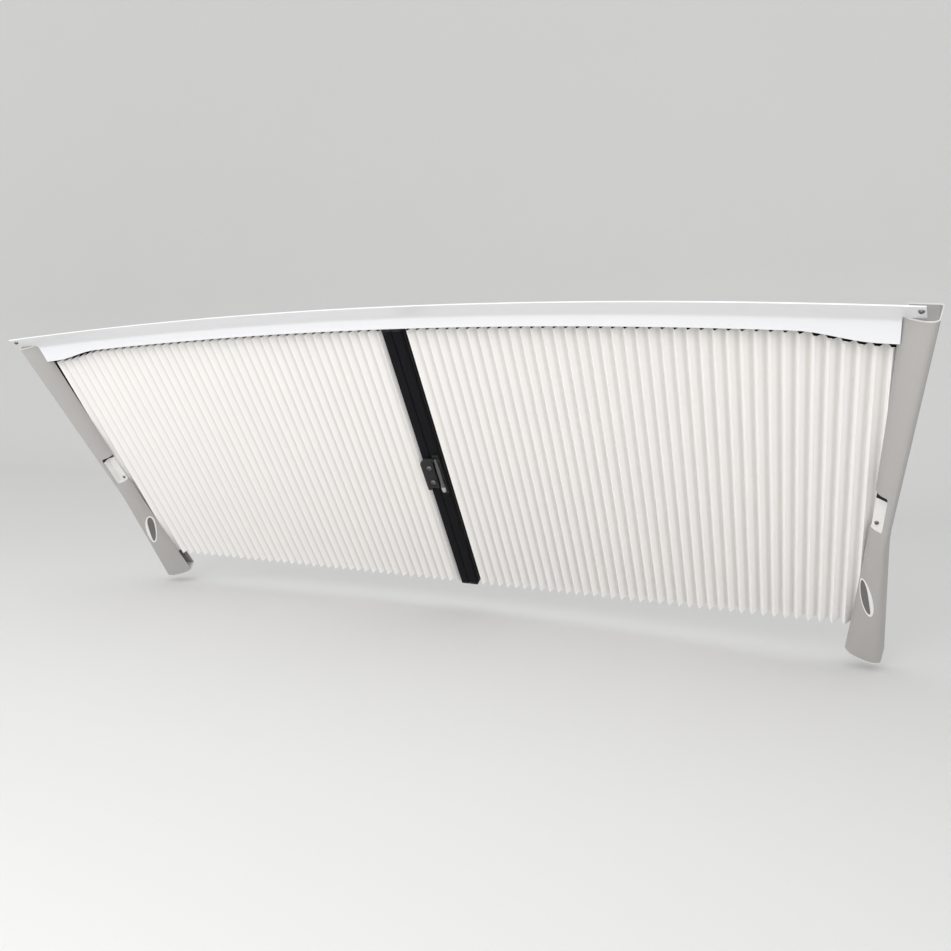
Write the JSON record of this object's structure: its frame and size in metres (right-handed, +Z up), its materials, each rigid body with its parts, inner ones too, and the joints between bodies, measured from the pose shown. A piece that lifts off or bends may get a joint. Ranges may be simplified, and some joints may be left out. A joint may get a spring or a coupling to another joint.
{
  "type": "windscreen cover",
  "caption": "Pleated cab blind for a windscreen: half curtains on a curved top rail close at black bars in the middle and stack in housings on the pillars.",
  "frame": {"origin": "middle of the centre bracket's flat face, which meets the vehicle above the windscreen", "axes": "+X to the right across the vehicle, +Y forward through the windscreen, +Z up; the blind slopes forward and down at 55 degrees from the horizontal"},
  "size_m": [1.7342, 0.5188, 0.6149],
  "materials": {
    "cover_white": "smooth satin white",
    "fabric_white": "pleated woven fabric, warm off-white",
    "housing_grey": "fine-grained light warm grey",
    "insert_white": "smooth off-white",
    "bar_black": "matt black anodised",
    "cap_black": "matt black",
    "rail_black": "matt black",
    "runner_grey": "plain dark grey",
    "bracket_steel": "zinc plated",
    "screw_steel": "dark plated",
    "magnet_steel": "nickel plated",
    "lever_silver": "dull silver"
  },
  "bodies": {
    "rail_and_housings": {"guide_rail": "rail_black", "top_cover": "cover_white", "cover_screw_left": "screw_steel", "cover_screw_right": "screw_steel", "rail_bracket_1": "bracket_steel", "rail_bracket_2": "bracket_steel", "rail_bracket_3": "bracket_steel", "rail_bracket_4": "bracket_steel", "rail_bracket_5": "bracket_steel", "bracket_screw_1": "screw_steel", "bracket_screw_2": "screw_steel", "bracket_screw_3": "screw_steel", "bracket_screw_4": "screw_steel", "bracket_screw_5": "screw_steel", "rail_end_stop_left": "cap_black", "pillar_housing_left": "housing_grey", "housing_cap_left": "housing_grey", "housing_foot_left": "housing_grey", "fixing_plate_left": "insert_white", "fixing_screw_left": "screw_steel", "oval_bezel_left": "insert_white", "pleat_anchor_left": "cap_black", "pleated_curtain_left": "fabric_white", "rail_end_stop_right": "cap_black", "pillar_housing_right": "housing_grey", "housing_cap_right": "housing_grey", "housing_foot_right": "housing_grey", "fixing_plate_right": "insert_white", "fixing_screw_right": "screw_steel", "oval_bezel_right": "insert_white", "pleat_anchor_right": "cap_black", "pleated_curtain_right": "fabric_white"},
    "left_bar": {"closing_bar_left": "bar_black", "bar_top_cap_left": "cap_black", "bar_bottom_cap_left": "cap_black", "bar_carriage_left": "runner_grey", "fabric_clip_left": "cap_black", "magnet_left_1": "magnet_steel", "magnet_left_2": "magnet_steel", "catch_plate": "cap_black", "catch_screw_1": "screw_steel", "catch_screw_2": "screw_steel"},
    "right_bar": {"closing_bar_right": "bar_black", "bar_top_cap_right": "cap_black", "bar_bottom_cap_right": "cap_black", "bar_carriage_right": "runner_grey", "fabric_clip_right": "cap_black", "magnet_right_1": "magnet_steel", "magnet_right_2": "magnet_steel", "lever_tray": "cap_black", "lever_pin": "screw_steel"},
    "pull_lever": {"latch_lever": "lever_silver"},
    "left_runner_1": {"runner_left_1": "runner_grey"},
    "left_runner_2": {"runner_left_2": "runner_grey"},
    "left_runner_3": {"runner_left_3": "runner_grey"},
    "right_runner_1": {"runner_right_1": "runner_grey"},
    "right_runner_2": {"runner_right_2": "runner_grey"},
    "right_runner_3": {"runner_right_3": "runner_grey"}
  },
  "joints": [
    {"name": "left_bar_travel", "type": "hinge", "parent": "rail_and_housings", "child": "left_bar", "pos_m": [0, -3.90233, -3.14543], "axis": [0, -0.5736, 0.8192], "range_deg": [0, 8.3], "deforming": ["pleated_curtain_left"]},
    {"name": "right_bar_travel", "type": "hinge", "parent": "rail_and_housings", "child": "right_bar", "pos_m": [0, -3.90233, -3.14543], "axis": [0, 0.5736, -0.8192], "range_deg": [0, 8.3], "deforming": ["pleated_curtain_right"]},
    {"name": "left_runner_1_travel", "type": "hinge", "parent": "rail_and_housings", "child": "left_runner_1", "pos_m": [0, -3.90233, -3.14543], "axis": [0, -0.5736, 0.8192], "range_deg": [0, 2.08]},
    {"name": "left_runner_2_travel", "type": "hinge", "parent": "rail_and_housings", "child": "left_runner_2", "pos_m": [0, -3.90233, -3.14543], "axis": [0, -0.5736, 0.8192], "range_deg": [0, 4.16]},
    {"name": "left_runner_3_travel", "type": "hinge", "parent": "rail_and_housings", "child": "left_runner_3", "pos_m": [0, -3.90233, -3.14543], "axis": [0, -0.5736, 0.8192], "range_deg": [0, 6.23]},
    {"name": "right_runner_1_travel", "type": "hinge", "parent": "rail_and_housings", "child": "right_runner_1", "pos_m": [0, -3.90233, -3.14543], "axis": [0, 0.5736, -0.8192], "range_deg": [0, 2.08]},
    {"name": "right_runner_2_travel", "type": "hinge", "parent": "rail_and_housings", "child": "right_runner_2", "pos_m": [0, -3.90233, -3.14543], "axis": [0, 0.5736, -0.8192], "range_deg": [0, 4.16]},
    {"name": "right_runner_3_travel", "type": "hinge", "parent": "rail_and_housings", "child": "right_runner_3", "pos_m": [0, -3.90233, -3.14543], "axis": [0, 0.5736, -0.8192], "range_deg": [0, 6.23]},
    {"name": "lever_flip", "type": "hinge", "parent": "right_bar", "child": "pull_lever", "pos_m": [0.01267, 0.17236, -0.27521], "axis": [-1, 0.0017, 0.0012], "range_deg": [0, 60]}
  ],
  "couplings": [
    {"joint": "left_runner_1_travel", "follows": "left_bar_travel", "ratio": 0.25},
    {"joint": "left_runner_2_travel", "follows": "left_bar_travel", "ratio": 0.5},
    {"joint": "left_runner_3_travel", "follows": "left_bar_travel", "ratio": 0.75},
    {"joint": "right_runner_1_travel", "follows": "right_bar_travel", "ratio": 0.25},
    {"joint": "right_runner_2_travel", "follows": "right_bar_travel", "ratio": 0.5},
    {"joint": "right_runner_3_travel", "follows": "right_bar_travel", "ratio": 0.75}
  ]
}
